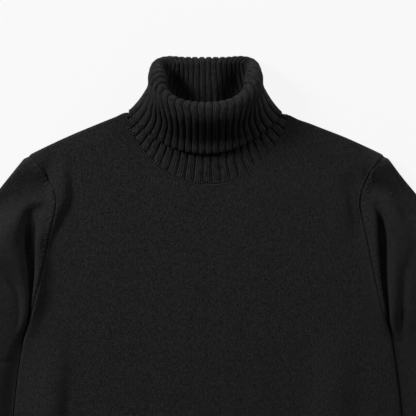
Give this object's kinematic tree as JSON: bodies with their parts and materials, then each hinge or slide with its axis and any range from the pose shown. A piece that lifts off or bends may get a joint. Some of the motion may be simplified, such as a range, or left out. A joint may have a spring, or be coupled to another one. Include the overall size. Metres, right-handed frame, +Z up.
{
  "type": "turtleneck sweater",
  "caption": "Fine-knit turtleneck sweater laid flat, face up, with long set-in sleeves and a ribbed roll collar that stands open and turns down.",
  "frame": {"origin": "middle of the laid sweater's footprint, on the surface it rests on", "axes": "+Y from hem to collar, +X towards the wearer's left sleeve, +Z up, out of the front"},
  "size_m": [0.7754, 0.7538, 0.0714],
  "materials": {
    "knit": "matt charcoal-black fine jersey",
    "rib": "matt charcoal-black 2x2 rib"
  },
  "bodies": {
    "root": {"front": "knit", "back": "knit", "sleeve_left": "knit", "sleeve_right": "knit", "collar": "rib"}
  },
  "joints": []
}
